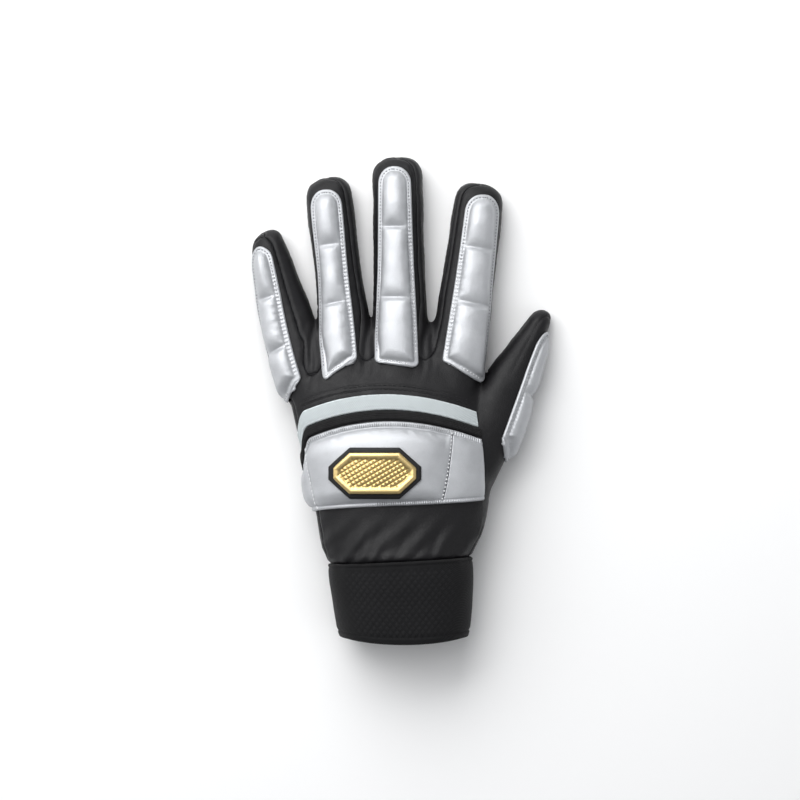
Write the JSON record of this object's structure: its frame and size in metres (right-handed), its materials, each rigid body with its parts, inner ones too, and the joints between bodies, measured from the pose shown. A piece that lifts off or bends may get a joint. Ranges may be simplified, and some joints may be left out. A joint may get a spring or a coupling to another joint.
{
  "type": "baseball sliding glove",
  "caption": "Left-hand sports glove with padded finger guards, a padded knuckle guard with a raised badge, elastic bands over the knuckles and a wide knitted cuff.",
  "frame": {"origin": "under the middle of the glove's box, on the surface that it lies on, palm down", "axes": "+Z out of the back of the hand, +Y from the cuff to the fingertips, +X to the thumb's side"},
  "size_m": [0.1456, 0.2406, 0.0474],
  "materials": {
    "leather_black": "fine grained, satin",
    "leather_side": "fine grained, matt",
    "pad_silver": "silver coated, satin",
    "band_grey": "smooth matt tape",
    "elastic_black": "ribbed elastic",
    "cuff_knit": "knitted elastic",
    "badge_black": "smooth, satin",
    "badge_gold": "gold, satin"
  },
  "bodies": {
    "root": {"palm_panel": "leather_black", "back_panel": "leather_black", "thumb_back": "leather_black", "thumb_side": "leather_black", "fourchette_pinky_ring": "leather_side", "fourchette_ring_middle": "leather_side", "fourchette_middle_index": "leather_side", "pinky_pad": "pad_silver", "ring_pad": "pad_silver", "middle_pad": "pad_silver", "index_pad": "pad_silver", "thumb_pad": "pad_silver", "knuckle_guard": "pad_silver", "guard_tab": "pad_silver", "knuckle_band": "band_grey", "flex_band": "elastic_black", "cuff": "cuff_knit", "badge_backing": "badge_black", "badge_plate": "badge_gold"}
  },
  "joints": []
}
